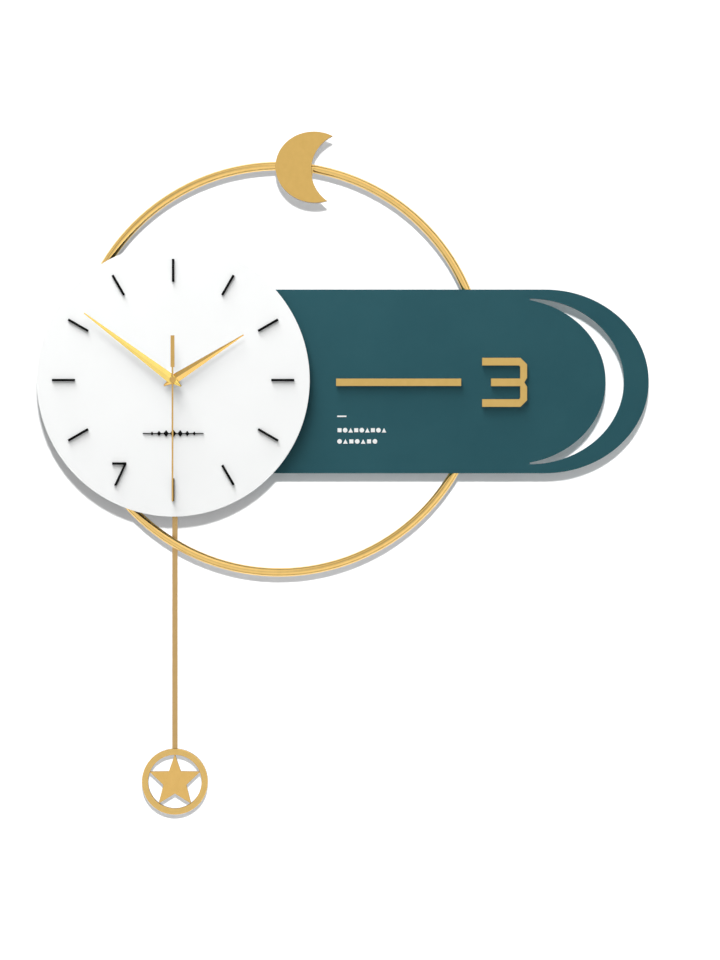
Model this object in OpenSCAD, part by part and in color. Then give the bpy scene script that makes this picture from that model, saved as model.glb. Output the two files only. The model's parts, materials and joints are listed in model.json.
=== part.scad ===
// Pendulum wall clock: a round dial in front of a long side panel with a crescent cut out of it,
// a round hoop behind both with a moon on top, and a star in a ring as the pendulum's bob.
// A battery quartz movement behind the dial turns the hands and swings the pendulum.
//
// Sizes are in millimetres. X runs to the right, Z up, and the wall is the plane Y = 0, so the
// front faces -Y. Shapes are drawn around the hands' axis, by depth in front of a plane just
// behind the pendulum. They are then moved so that the origin lies on the wall, halfway between
// the two keyholes.

/* [Dial] */
// Diameter of the round dial
dial_d = 279; // [260:1:300]
// Thickness of the dial
dial_t = 5; // [4:0.5:6]
// Distance from the hands' axis to the middle of an hour marker
marker_r = 112; // [104:1:116]
// Length of an hour marker
marker_len = 23.4; // [18:0.2:26]
// Width of an hour marker
marker_w = 2.4; // [1.8:0.1:4]

/* [Side panel] */
// Height of the panel
panel_h = 188.4; // [170:0.2:200]
// Distance from the hands' axis to the panel's right end
panel_reach = 487; // [460:1:520]
// Thickness of the panel
panel_t = 5; // [4:0.5:6]
// Width of the panel that is left above and below the crescent
cut_rim = 9.2; // [6:0.1:14]
// Widest opening of the crescent
cut_w = 19; // [14:0.2:24]

/* [Hoop and moon] */
// Radius of the hoop, to the middle of its rod
hoop_r = 209; // [204:1:214]
// Thickness of the hoop's rod
hoop_rod_d = 9; // [6:0.5:9]
// Half the height of the moon
moon_r = 36.4; // [32:0.2:40]
// Thickness of the moon
moon_t = 8; // [4:0.5:10]

/* [Hands] */
// Length of the hour hand
hour_len = 85.5; // [75:0.5:90]
// Length of the minute hand
minute_len = 113; // [100:1:120]
// Length of the second hand
second_len = 124.5; // [110:0.5:130]
// Hour hand, clockwise from twelve, in degrees
hour_at = 57.5; // [0:0.5:360]
// Minute hand, clockwise from twelve, in degrees
minute_at = 307; // [0:0.5:360]
// Second hand, clockwise from twelve, in degrees
second_at = 180; // [0:0.5:360]

/* [Pendulum] */
// Distance from the hands' axis down to the middle of the bob
bob_drop = 413; // [380:0.5:440]
// Radius of the bob's ring
bob_r = 34; // [30:0.5:40]
// Width of the pendulum's rod
rod_w = 5.5; // [4:0.5:6]

/* [Mounting] */
// Distance from the wall to the back of the pendulum
standoff = 7; // [4:0.5:12]

/* [Hidden] */
$fn = 96;

// Colours
white = "#fafafa";
black = "#1a1a1a";
teal = "#2f585f";
gold = "#d7b063";
brass = "#c9a24c";
steel = "#b9bcc0";
shell = "#24262a";
nylon = "#e8e6df";

// Depths
wall_at = -standoff;
rod_at = 3.6;           // rear face of the pendulum's rod
rod_t = 1.5;
lever_at = 5.4;         // rear face of the pendulum lever
lever_t = 2;
cover_at = 8.5;         // rear face of the movement
wall_t = 1.2;           // walls of the movement's shells
panel_at = 17;          // rear face of the panel
panel_front = panel_at + panel_t;
spacer_t = 6;
dial_at = panel_front + spacer_t;
dial_front = dial_at + dial_t;
gasket_t = 1.5;
case_front = dial_at - gasket_t;
hoop_at = panel_at - hoop_rod_d / 2;
bob_t = 6;
bob_at = rod_at + rod_t / 2 - bob_t / 2;
marker_t = 2.5;
ornament_t = 1.5;
print_t = 0.3;
raised_t = 4;           // raised bar and numeral on the panel
hour_hand_at = dial_front + 5;
hand_step = 3;
minute_hand_at = hour_hand_at + hand_step;
second_hand_at = minute_hand_at + hand_step;
through = 1;            // how far a cut runs past what it cuts

// Keyholes, from the hands' axis
hang_x = 105;
hang_z = 58;
hang_gap = 200;         // between the two keyholes
keyhole_r = 4.5;
key_slot_w = 4.4;
key_slot_up = 9;
bracket_t = 1.2;
bracket_h = 32;
bracket_low = 12;       // from the keyhole down to the bracket's lower edge
bracket_x = 15;         // half the width of the bracket's crown
foot_x = 27;            // half the width over its feet
foot_hole = [21, 4];    // a foot's screw, from the keyhole
post_r = 7;
pad_t = 1.5;
spacer_r = 5;

// Panel and hoop, from the hands' axis
panel_z = -0.9;
end_a = 106.2;          // length of the panel's elliptical right end
left_a = 85;            // and of its left end, which the dial hides
left_x = -40;
cut_a = 97.1;           // half the length and half the height of the crescent's two ellipses
cut_b = panel_h / 2 - cut_rim;
cut_x = panel_reach - 122.3;
cut_tip = 9.8;          // the crescent's points are blunt by this much
window_x = 31;          // half the width of the movement's window
window_top = 37;
window_bottom = -59;
hoop_x = 107.9;
hoop_z = 12;
tab_angles = [10.5, -15.8, 169.5, 195.8];
moon_tab_angles = [82, 87.5];
tab_in = 14;            // screw hole, inward from the hoop's middle line
tab_lip = 6;            // and from the hole to the tab's end
tab_w = 12;
tab_t = 1.5;
moon_at = [144.2, 218.6];
moon_stretch = 1.1;     // the moon is a little wider than high
moon_tilt = -5;
bite_at = [35.2, -3];   // circle that makes the moon a crescent, from the moon's middle
bite_r = 38.6;
spacer_spots = [[-62, 62], [-62, -62], [78, 66], [78, -66]];
post_x = panel_reach - 101;
post_spots = [[-75, -20], [post_x, -60], [post_x, 60]];

// Screws
screw_r = 1.5;
screw_in = 3.5;         // how far a screw goes into the piece that it holds
head_r = 3;
head_h = 2;
cross_l = 3.6;          // the head's cross recess
cross_w = 0.8;
cross_in = 1;

// Movement
case_x = 29;            // half the width of the case
case_top = 34;
case_bottom = -56;
bay_low = 16.2;         // the battery's bay, above the gears
bay_high = case_top - wall_t;
boss_r = 2.6;
boss_in = 3.6;          // from the outside of the case to a corner screw
boss_up = 0.2;          // the upper bosses run into the bay's wall by this much
corner_z = [bay_low - boss_in + boss_up, case_bottom + boss_in];
corner_spots = [for (side = [-1, 1], z = corner_z) [side * (case_x - boss_in), z]];
small_screw_r = 1;      // the cover's screws
small_screw_in = 7;
small_head_r = 2;
small_head_h = 1.2;
small_cross_l = 2.6;
small_cross_w = 0.6;
small_cross_in = 0.6;
screw_end = 1;          // depth of a screw's hole past the screw's end
bay_lip = 0.4;          // the cover's opening is this much lower than the bay, at each edge
merge = 0.1;            // how far walls, bosses and pegs run into the case's front wall
inner_rear = cover_at + wall_t;
inner_front = case_front - wall_t;
bushing_r = 4;
bushing_over = 0.4;     // how far the bushing stands past its nut
flange_w = 1.5;
flange_t = 0.8;
washer_r = 8;
washer_t = 0.8;
nut_r = 7;
nut_t = 2.4;
gasket_r = 11;
play = 0.05;            // radial clearance of everything that turns
end_play = 0.15;        // and its clearance lengthwise
second_r = 0.6;
minute_r = 1.6;
hour_r = 2.5;
second_seat = 1;        // how far each arbor goes into its hand
minute_seat = 1.6;
hour_seat = 1.5;
pivot_r = 0.45;
arbor_r = 0.6;
pivot_in = 0.7;         // how far a pivot goes into a wall
bearing_in = 0.8;       // and how deep its bearing is
collar_r = 2.6;         // collar of the minute arbor, behind the centre wheel
pinion_over = 0.4;      // how far pinions stand past the wheels that they mesh with
cannon_over = 0.2;      // and the second, cannon and setting pinions
knob_r = 6;
knob_stem_r = 1.2;
knob_t = 2.8;
knob_gap = 0.5;         // between the knob and the cover

// Gear train: every axis that meshes with a middle wheel is this far from the hands' axis
train_r = 9;
pressure = 25;          // pressure angle
addendum = 0.65;        // in modules
dedendum = 0.95;
tooth_gap = 0.035;      // taken off each flank
wheel_t = 1.2;
rotor_gap = 6;          // from the intermediate wheel's axis to the rotor's
z_rotor = 8;
z_inter = 40;
z_inter_pinion = 10;
z_second = 60;
z_second_pinion = 8;
z_third = 60;
z_third_pinion = 8;
z_centre = 64;
z_cannon = 12;
z_motion = 36;
z_motion_pinion = 10;
z_hour = 40;
z_knob = 12;
// Directions from the hands' axis, and onward from the intermediate and motion wheels
inter_dir = 130;
third_dir = 230;
motion_dir = 0;
rotor_dir = 170;
knob_dir = -20;
inter_spot = train_r * [cos(inter_dir), sin(inter_dir)];
third_spot = train_r * [cos(third_dir), sin(third_dir)];
motion_spot = train_r * [cos(motion_dir), sin(motion_dir)];
rotor_spot = inter_spot + rotor_gap * [cos(rotor_dir), sin(rotor_dir)];
knob_spot = motion_spot + train_r * [cos(knob_dir), sin(knob_dir)];
// Rear faces of the layers of wheels, from the wall
inter_layer = 11.2;
second_layer = 13.4;
third_layer = 15.6;
centre_layer = 17.8;
motion_layer = 20.2;
hour_layer = 22.2;

// Motor and electronics
magnet_r = 2.8;
magnet_at = 13;
magnet_t = 2;
stator_at = 13.4;
stator_t = 1;
stator_eye_r = 4.4;
air_gap = 0.5;          // between the rotor's magnet and the stator
leg_w = 3.2;
leg_low = -14;
leg_high = 9.6;
core_at = stator_at + stator_t;
core_t = 1;
core_w = 3;
coil_x = -20.5;
coil_low = -10.2;
coil_high = 9;
coil_r = 3.4;
cheek_r = 4;            // cheeks of the coil's bobbin
cheek_t = 0.8;
board_at = 12;
board_t = 1;
board_x = 22;           // half the width of the board
board_low = -31;
board_high = -17.5;
board_pegs = [18, -24];
board_peg_r = 1.5;
core_peg_r = 1.3;
chip_spot = [-8, -25];
chip_r = 3;
chip_t = 0.9;
crystal_spot = [6, -22];
crystal_r = 1;
crystal_len = 6;
drive_gap = 0.2;        // between the cover and the pendulum's drive coil
drive_at = inner_rear + drive_gap;
drive_t = 4;
drive_r = 6.4;
drive_cheek_r = 7.4;
drive_cheek_t = 0.6;
drive_bore_r = 2;

// Pendulum drive
lever_z = -18;          // the lever's pivot
magnet_z = -43;
peg_z = -51.5;          // the peg that the rod hangs on
lever_pin_r = 1;
peg_r = 1.5;
peg_head_r = 2.5;
peg_head_t = 0.8;
peg_gap = 0.4;          // between the rod and the peg's head
eye_r = 4.6;            // outside of the rod's keyhole
eye_drop = 5;           // from the peg down to the keyhole's round end
rod_end = 4;            // how far the rod reaches into the bob's ring
lever_magnet_r = 4;
lever_magnet_over = 0.5;
pin_head_r = 2.4;
pin_head_t = 1.2;
pin_gap = 0.4;          // between the pin's head and the lever
pin_boss_r = 3;         // the cover's boss round the lever's pin
pin_boss_t = 0.6;

battery_r = 7.1;
battery_len = 49.2;
battery_z = 24.5;
battery_at = 17;
button_r = 2.7;
button_h = 1.3;

// ---- helpers ----

// Extrudes a profile drawn in X and Z from depth d0 to depth d1
module slab(d0, d1) {
    translate([0, -d0, 0]) rotate([90, 0, 0]) linear_extrude(d1 - d0) children();
}

// Round bar along Y at p = [x, z]
module bar(p, r, d0, d1) {
    translate([p[0], -d0, p[1]]) rotate([90, 0, 0]) cylinder(r = r, h = d1 - d0);
}

// Block between two corners given as [x, depth, z]
module block(a, b) {
    translate([a[0], -b[1], a[2]]) cube([b[0] - a[0], b[1] - a[1], b[2] - a[2]]);
}

// Points along an ellipse from one angle to another
function arc(centre, a, b, from, to, n = 72) =
    [for (i = [0:n]) let (t = from + (to - from) * i / n) centre + [a * cos(t), b * sin(t)]];

// Pan-head screw at p: the head's top is at depth d0 and the shank ends at depth d1
module screw(p, d0, d1) {
    difference() {
        union() {
            bar(p, head_r, d0, d0 + head_h);
            bar(p, screw_r, d0 + head_h, d1);
        }
        translate([p[0], -d0, p[1]]) for (turn = [0, 90]) rotate([0, turn, 0])
            cube([cross_l, 2 * cross_in, cross_w], center = true);
    }
}

function involute(angle) = tan(angle) * 180 / PI - angle;
// Half the angle that a tooth covers at radius r, for a gear of z teeth and module m
function half_tooth(z, m, r) =
    let (pitch = z * m / 2, base = pitch * cos(pressure))
    90 / z - tooth_gap / pitch * 180 / PI + involute(pressure)
    - (r > base ? involute(acos(base / r)) : 0);
// Outline of a gear whose first tooth points along the angle "at"
function gear_outline(z, m, at) =
    let (pitch = z * m / 2, radii = [pitch - dedendum * m, pitch, pitch + addendum * m])
    [for (i = [0:z - 1], side = [-1, 1], k = side < 0 ? [0, 1, 2] : [2, 1, 0])
        let (t = at + 360 * i / z + side * half_tooth(z, m, radii[k])) radii[k] * [cos(t), sin(t)]];
// Where the second gear's first tooth has to point to mesh with the first, which lies along "dir"
function mesh_at(dir, z1, at1, z2) = dir + 180 - 360 / z2 * (0.5 - (dir - at1) * z1 / 360);

// Gear at p = [x, z], from depth d0 to d1
module gear(p, z, m, at, d0, d1) {
    slab(d0, d1) translate(p) polygon(gear_outline(z, m, at));
}

// Arbor of a wheel with a pivot at each end, between the movement's two walls
module arbor(p) {
    bar(p, arbor_r, inner_rear + end_play, inner_front - end_play);
    bar(p, pivot_r, inner_rear - pivot_in, inner_front + pivot_in);
}

// Moves a finished piece from the hands' axis to the clock's own frame
module hung() {
    translate([-hang_x, -standoff, -hang_z]) children();
}

// ---- dial ----

module dial_disc() color(white) hung() difference() {
    bar([0, 0], dial_d / 2, dial_at, dial_front);
    bar([0, 0], bushing_r + play, dial_at - through, dial_front + through);
    for (p = spacer_spots) bar(p, screw_r, dial_at - through, dial_at + screw_in);
}

// Eleven bars, because a numeral takes the place of the one at seven
module hour_markers() color(black) hung() slab(dial_front, dial_front + marker_t)
    for (hour = [0:11]) if (hour != 7) rotate(-30 * hour)
        translate([0, marker_r]) square([marker_w, marker_len], center = true);

// The seven's long stroke lies along the hour's own direction
module numeral_seven() color(black) hung() slab(dial_front, dial_front + marker_t) {
    foot = [-60.4, -107.8];
    head = [-50.2, -86.4];
    stroke = 2.4;
    bar_len = 12.1;
    polygon([
        foot, foot + [stroke + 0.3, 0], head + [stroke, 0.4], head + [stroke, stroke],
        head + [-bar_len, stroke], head + [-bar_len, 0], head
    ]);
}

// Plain ornament below the hands: a row of diamonds on a line, smaller towards both ends
module dial_ornament() color(black) hung() slab(dial_front, dial_front + ornament_t) translate([0, -54.5]) {
    line = [62, 0.9];
    step = 7.2;
    square(line, center = true);
    for (i = [-3:3]) translate([step * i, 0]) scale([1, 1.25]) rotate(45)
        square(4.6 - 0.75 * abs(i), center = true);
}

// ---- side panel ----

module panel_outline() {
    end_x = panel_reach - end_a;
    polygon(concat(
        arc([end_x, panel_z], end_a, panel_h / 2, -90, 90),
        arc([left_x, panel_z], left_a, panel_h / 2, 90, 270)
    ));
}

// The crescent lies between an ellipse and the same ellipse moved to the left
module crescent() intersection() {
    difference() {
        polygon(arc([cut_x, panel_z], cut_a, cut_b, -100, 100));
        translate([-cut_w, 0]) polygon(arc([cut_x, panel_z], cut_a, cut_b, -180, 180, 144));
    }
    translate([cut_x - cut_w / 2 + cut_tip, panel_z - panel_h]) square(2 * panel_h);
}

module side_panel() color(teal) hung() difference() {
    slab(panel_at, panel_front) difference() {
        panel_outline();
        crescent();
        translate([-window_x, window_bottom]) square([2 * window_x, window_top - window_bottom]);
    }
    for (p = spacer_spots) bar(p, screw_r, panel_at - through, panel_front + through);
    for (p = concat(hanger_screw_spots(), [for (a = tab_angles) tab_hole(a)]))
        bar(p, screw_r, panel_at - through, panel_at + screw_in);
}

module panel_bar() color(gold) hung() slab(panel_front, panel_front + raised_t)
    translate([166.3, -5.8]) square([128.3, 7.7]);

// Squared three with cut corners and a notched waist
module numeral_three() color(gold) hung() slab(panel_front, panel_front + raised_t) {
    left = 315.9;
    mid = 325;
    right = 362.1;
    top = 23.2;
    waist = -2;
    stroke = 8;
    cut = 6.8;
    inner = right - stroke + 0.8;
    tip = top - waist;
    upper = [
        [mid, stroke / 2], [inner, stroke / 2], [inner, tip - stroke - 1.2],
        [inner - 1.2, tip - stroke], [left, tip - stroke], [left, tip],
        [right - cut, tip], [right, tip - cut], [right, 4.6]
    ];
    lower = [for (i = [len(upper) - 1:-1:0]) [upper[i][0], -upper[i][1]]];
    translate([0, waist]) polygon(concat(upper, [[right - 2.8, 0]], lower));
}

// Small print replaced by a dash and two rows of plain shapes
module panel_print_marks() color(white) hung() slab(panel_front, panel_front + print_t) {
    left = 167.5;
    size = 4.8;
    translate([left, -37.5]) square([9.5, 1.5]);
    translate([left + size / 2, -51]) marks(9, 5.7, size, 0);
    translate([left + size / 2, -62.5]) marks(7, 6.05, size, 1);
}

// Row of plain shapes that starts with the kind "first"
module marks(count, step, size, first) {
    for (i = [0:count - 1]) translate([step * i, 0]) mark((i + first) % 3, size);
}

// One plain shape: 0 is a square, 1 a disc and 2 a triangle
module mark(kind, s) {
    if (kind == 0) square(s * 0.86, center = true);
    if (kind == 1) circle(d = s);
    if (kind == 2) polygon([[-s / 2, -s / 2], [s / 2, -s / 2], [0, s / 2]]);
}

// ---- hoop and moon ----

function on_hoop(angle, inward = 0) =
    [hoop_x, hoop_z] + (hoop_r - inward) * [cos(angle), sin(angle)];
function tab_hole(angle) = on_hoop(angle, tab_in);

module hoop() color(gold) hung() difference() {
    union() {
        translate([hoop_x, -hoop_at, hoop_z]) rotate([90, 0, 0])
            rotate_extrude($fn = 180) translate([hoop_r, 0]) circle(d = hoop_rod_d);
        for (a = concat(tab_angles, moon_tab_angles)) slab(panel_at - tab_t, panel_at)
            translate([hoop_x, hoop_z]) rotate(a)
                translate([hoop_r - tab_in - tab_lip, -tab_w / 2]) square([tab_in + tab_lip, tab_w]);
    }
    for (a = concat(tab_angles, moon_tab_angles)) bar(tab_hole(a), screw_r, 0, panel_at + through);
}

module hoop_screws() color(steel) hung()
    for (a = concat(tab_angles, moon_tab_angles))
        screw(tab_hole(a), panel_at - tab_t - head_h, panel_at + screw_in);

module crescent_moon() color(gold) hung() difference() {
    slab(panel_at, panel_at + moon_t) translate(moon_at) difference() {
        rotate(moon_tilt) scale([moon_stretch, 1]) circle(r = moon_r);
        translate(bite_at) circle(r = bite_r);
    }
    for (a = moon_tab_angles) bar(tab_hole(a), screw_r, panel_at - through, panel_at + screw_in);
}

// ---- what holds the clock together and on the wall ----

module dial_spacers() color(nylon) hung() for (p = spacer_spots) difference() {
    bar(p, spacer_r, panel_front, dial_at);
    bar(p, screw_r, panel_front - through, dial_at + through);
}

module dial_screws() color(steel) hung()
    for (p = spacer_spots) screw(p, panel_at - head_h, dial_at + screw_in);

function hanger_spots() = [for (side = [-1, 1]) [hang_x + side * hang_gap / 2, hang_z]];
function foot_holes(p) = [for (side = [-1, 1]) p + [side * foot_hole[0], foot_hole[1]]];
function hanger_screw_spots() = [for (p = hanger_spots(), hole = foot_holes(p)) hole];

// Steel strip bent into a hat, with a keyhole in its crown and a screw through each foot
module hanger_brackets() color(steel) hung() for (p = hanger_spots()) difference() {
    translate([p[0], 0, p[1] - bracket_low]) {
        block([-bracket_x, wall_at, 0], [bracket_x, wall_at + bracket_t, bracket_h]);
        for (side = [0, 1]) mirror([side, 0, 0]) {
            block([bracket_x - bracket_t, wall_at, 0], [bracket_x, panel_at, bracket_h]);
            block([bracket_x - 1, panel_at - bracket_t, 0], [foot_x, panel_at, bracket_h]);
        }
    }
    bar(p, keyhole_r, wall_at - through, wall_at + bracket_t + through);
    bar(p + [0, key_slot_up], key_slot_w / 2, wall_at - through, wall_at + bracket_t + through);
    block([p[0] - key_slot_w / 2, wall_at - through, p[1]],
          [p[0] + key_slot_w / 2, wall_at + bracket_t + through, p[1] + key_slot_up]);
    for (hole = foot_holes(p)) bar(hole, screw_r, panel_at - bracket_t - through, panel_at + through);
}

module hanger_screws() color(steel) hung() for (p = hanger_screw_spots())
    screw(p, panel_at - bracket_t - head_h, panel_at + screw_in);

module wall_posts() color(shell) hung() for (p = post_spots) bar(p, post_r, wall_at + pad_t, panel_at);

module wall_pads() color("#5c5f63") hung() for (p = post_spots) bar(p, post_r, wall_at, wall_at + pad_t);

// ---- movement: shells and fasteners ----

// Shell with a wall under the battery's bay, screw bosses, and pegs for what sits inside
module movement_case() color(shell) hung() difference() {
    union() {
        difference() {
            block([-case_x, inner_rear, case_bottom], [case_x, case_front, case_top]);
            block([-case_x + wall_t, inner_rear - through, case_bottom + wall_t],
                  [case_x - wall_t, inner_front, case_top - wall_t]);
        }
        block([-case_x, inner_rear, bay_low - wall_t], [case_x, inner_front + merge, bay_low]);
        for (p = corner_spots) bar(p, boss_r, inner_rear, inner_front + merge);
        for (side = [-1, 1])
            bar([side * board_pegs[0], board_pegs[1]], board_peg_r, board_at + board_t, inner_front + merge);
        for (z = [leg_low, leg_high])
            bar([coil_x, z + leg_w / 2], core_peg_r, core_at + core_t, inner_front + merge);
        bar([0, magnet_z], 2 * drive_bore_r, drive_at + drive_t, inner_front + merge);
        bar([0, magnet_z], drive_bore_r - 2 * play, drive_at + drive_gap, drive_at + drive_t);
    }
    for (p = corner_spots) bar(p, small_screw_r, inner_rear - through, inner_rear + small_screw_in + screw_end);
    bar([0, 0], bushing_r, inner_front - through, case_front + through);
    for (p = [inter_spot, third_spot, motion_spot, rotor_spot, knob_spot])
        bar(p, pivot_r + play, inner_front - through, inner_front + bearing_in);
}

// Rear plate with the battery's opening, bearings and the lever's boss
module movement_cover() color(shell) hung() difference() {
    opening_x = case_x - 2.4;
    union() {
        block([-case_x, cover_at, case_bottom], [case_x, inner_rear, case_top]);
        bar([0, lever_z], pin_boss_r, cover_at - pin_boss_t, cover_at);
    }
    block([-opening_x, cover_at - through, bay_low + bay_lip],
          [opening_x, inner_rear + through, bay_high - bay_lip]);
    for (p = corner_spots) bar(p, small_screw_r + 2 * play, cover_at - through, inner_rear + through);
    for (p = [[0, 0], inter_spot, third_spot, motion_spot, rotor_spot])
        bar(p, pivot_r + play, inner_rear - bearing_in, inner_rear + through);
    bar(knob_spot, knob_stem_r + play, cover_at - through, inner_rear + through);
    bar([0, lever_z], lever_pin_r, cover_at - pin_boss_t - through, inner_rear + through);
}

module cover_screws() color(steel) hung() for (p = corner_spots) difference() {
    union() {
        bar(p, small_head_r, cover_at - small_head_h, cover_at);
        bar(p, small_screw_r, cover_at, inner_rear + small_screw_in);
    }
    for (turn = [0, 90]) translate([p[0], small_head_h - cover_at, p[1]]) rotate([0, turn, 0])
        cube([small_cross_l, 2 * small_cross_in, small_cross_w], center = true);
}

// Flanged brass bush that the hour wheel's tube turns in, clamped to the dial by its nut
module threaded_bushing() color(brass) hung() difference() {
    union() {
        bar([0, 0], bushing_r + flange_w, inner_front - flange_t, inner_front);
        bar([0, 0], bushing_r, inner_front, dial_front + washer_t + nut_t + bushing_over);
    }
    bar([0, 0], hour_r + play, inner_front - flange_t - through, hour_hand_at);
}

module bushing_nut() color(brass) hung() difference() {
    slab(dial_front + washer_t, dial_front + washer_t + nut_t) circle(r = nut_r, $fn = 6);
    bar([0, 0], bushing_r, dial_front, hour_hand_at);
}

module dial_washer() color(brass) hung() difference() {
    bar([0, 0], washer_r, dial_front, dial_front + washer_t);
    bar([0, 0], bushing_r + play, dial_front - through, dial_front + washer_t + through);
}

module rubber_gasket() color("#303030") hung() difference() {
    bar([0, 0], gasket_r, case_front, dial_at);
    bar([0, 0], bushing_r + play, case_front - through, dial_at + through);
}

// ---- movement: electrics ----

contact_t = 0.4;
contact_end = -case_x + wall_t + contact_t;
// Space between a strip and the battery's flat end
end_gap = -battery_len / 2 - contact_end;

// Strip against the bay's end wall, with a dimple of height "reach" that touches the battery
module contact(reach) {
    half = 5;
    rear_gap = 1.3;
    front_gap = 1.8;
    foot_r = 3.8;
    top_r = 1.5;
    block([contact_end - contact_t, inner_rear + rear_gap, battery_z - half],
          [contact_end, inner_front - front_gap, battery_z + half]);
    translate([contact_end, -battery_at, battery_z]) rotate([0, 90, 0])
        cylinder(r1 = foot_r, r2 = top_r, h = reach);
}

module spring_contact() color(steel) hung() contact(end_gap);

module flat_contact() color(steel) hung() mirror([1, 0, 0]) contact(end_gap - button_h);

module circuit_board() color("#1f6b3a") hung()
    block([-board_x, board_at, board_low], [board_x, board_at + board_t, board_high]);

// Drop of resin over the chip
module clock_chip() color(black) hung() bar(chip_spot, chip_r, board_at - chip_t, board_at);

// Small can that lies on the board
module quartz_crystal() color(steel) hung() translate([crystal_spot[0], crystal_r - board_at, crystal_spot[1]])
    rotate([0, 90, 0]) cylinder(r = crystal_r, h = crystal_len);

// Plate with the rotor's hole and two legs that reach the coil's core
module motor_stator() color(steel) hung() slab(stator_at, core_at) difference() {
    inner_leg = rotor_spot[0] - stator_eye_r;
    inner_w = 2.6;
    neck = 1;
    union() {
        translate(rotor_spot) circle(r = stator_eye_r);
        for (z = [leg_low, leg_high]) translate([coil_x - core_w / 2, z])
            square([inner_leg + inner_w - coil_x + core_w / 2, leg_w]);
        translate([inner_leg, leg_low]) square([inner_w, leg_high - leg_low + neck]);
        translate([inner_leg, leg_high]) square([stator_eye_r, leg_w]);
    }
    translate(rotor_spot) circle(r = magnet_r + air_gap);
}

module motor_core() color(steel) hung()
    block([coil_x - core_w / 2, core_at, leg_low], [coil_x + core_w / 2, core_at + core_t, leg_high + leg_w]);

// Winding between the two cheeks of its bobbin, on the core
module motor_coil() color("#b3591f") hung() difference() {
    translate([coil_x, -core_at - core_t / 2, 0]) {
        translate([0, 0, coil_low]) cylinder(r = coil_r, h = coil_high - coil_low);
        for (z = [coil_low, coil_high - cheek_t]) translate([0, 0, z]) cylinder(r = cheek_r, h = cheek_t);
    }
    block([coil_x - core_w / 2, core_at, coil_low - through],
          [coil_x + core_w / 2, core_at + core_t, coil_high + through]);
}

module pendulum_coil() color("#b3591f") hung() difference() {
    union() {
        bar([0, magnet_z], drive_r, drive_at, drive_at + drive_t);
        for (d = [drive_at, drive_at + drive_t - drive_cheek_t])
            bar([0, magnet_z], drive_cheek_r, d, d + drive_cheek_t);
    }
    bar([0, magnet_z], drive_bore_r, drive_at - through, drive_at + drive_t + through);
}

// ---- going train: rotor, intermediate, second, third and centre wheels ----

// Module of a pair of gears from their distance and their teeth
function size_of(gap, z1, z2) = 2 * gap / (z1 + z2);
m_rotor = size_of(rotor_gap, z_rotor, z_inter);
m_inter = size_of(train_r, z_inter_pinion, z_second);
m_second = size_of(train_r, z_second_pinion, z_third);
m_third = size_of(train_r, z_third_pinion, z_centre);
m_cannon = size_of(train_r, z_cannon, z_motion);
m_motion = size_of(train_r, z_motion_pinion, z_hour);

module rotor_arbor() color(nylon) hung() {
    arbor(rotor_spot);
    gear(rotor_spot, z_rotor, m_rotor, mesh_at(rotor_dir, z_inter, 0, z_rotor),
         inter_layer - pinion_over, inter_layer + wheel_t + pinion_over);
}

module rotor_magnet() color("#3b3d40") hung() difference() {
    bar(rotor_spot, magnet_r, magnet_at, magnet_at + magnet_t);
    bar(rotor_spot, arbor_r, magnet_at - through, magnet_at + magnet_t + through);
}

module intermediate_wheel() color(nylon) hung() {
    arbor(inter_spot);
    gear(inter_spot, z_inter, m_rotor, 0, inter_layer, inter_layer + wheel_t);
    gear(inter_spot, z_inter_pinion, m_inter, mesh_at(inter_dir, z_second, 0, z_inter_pinion),
         inter_layer + wheel_t, second_layer + wheel_t + pinion_over);
}

module second_wheel() color(nylon) hung() {
    bar([0, 0], second_r, inner_rear + end_play, second_hand_at + second_seat);
    bar([0, 0], pivot_r, inner_rear - pivot_in, second_layer);
    gear([0, 0], z_second, m_inter, 0, second_layer, second_layer + wheel_t);
    gear([0, 0], z_second_pinion, m_second, 0, second_layer + wheel_t, third_layer + wheel_t + cannon_over);
}

module third_wheel() color(nylon) hung() {
    arbor(third_spot);
    gear(third_spot, z_third, m_second, mesh_at(third_dir, z_second_pinion, 0, z_third),
         third_layer, third_layer + wheel_t);
    gear(third_spot, z_third_pinion, m_third, mesh_at(third_dir, z_centre, 0, z_third_pinion),
         third_layer + wheel_t, centre_layer + wheel_t + pinion_over);
}

// Turns on the minute arbor, held to it only by the clutch spring's friction
module centre_wheel() color(nylon) hung() difference() {
    gear([0, 0], z_centre, m_third, 0, centre_layer, centre_layer + wheel_t);
    bar([0, 0], minute_r + play, centre_layer - 1, centre_layer + wheel_t + 1);
}

// ---- motion work: minute arbor, motion wheel, hour wheel and setting knob ----

module minute_arbor() color(brass) hung() difference() {
    rear = third_layer + wheel_t + 2 * cannon_over;
    union() {
        bar([0, 0], minute_r, rear, minute_hand_at + minute_seat);
        bar([0, 0], collar_r, rear, centre_layer - end_play);
        gear([0, 0], z_cannon, m_cannon, 0, motion_layer - cannon_over, motion_layer + wheel_t + cannon_over);
    }
    bar([0, 0], second_r + play, third_layer, second_hand_at);
}

// Cone of spring brass between the centre wheel and the cannon pinion
module clutch_spring() color(brass) hung() difference() {
    rear = centre_layer + wheel_t + 0.05;
    front = motion_layer - cannon_over;
    rim_r = 3.6;
    neck_r = 2.4;
    translate([0, -rear, 0]) rotate([90, 0, 0]) cylinder(r1 = rim_r, r2 = neck_r, h = front - rear);
    bar([0, 0], minute_r, rear - through, front + through);
}

module motion_wheel() color(nylon) hung() {
    arbor(motion_spot);
    gear(motion_spot, z_motion, m_cannon, mesh_at(motion_dir, z_cannon, 0, z_motion),
         motion_layer, motion_layer + wheel_t);
    gear(motion_spot, z_motion_pinion, m_motion, mesh_at(motion_dir, z_hour, 0, z_motion_pinion),
         motion_layer + wheel_t, hour_layer + wheel_t + pinion_over);
}

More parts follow.
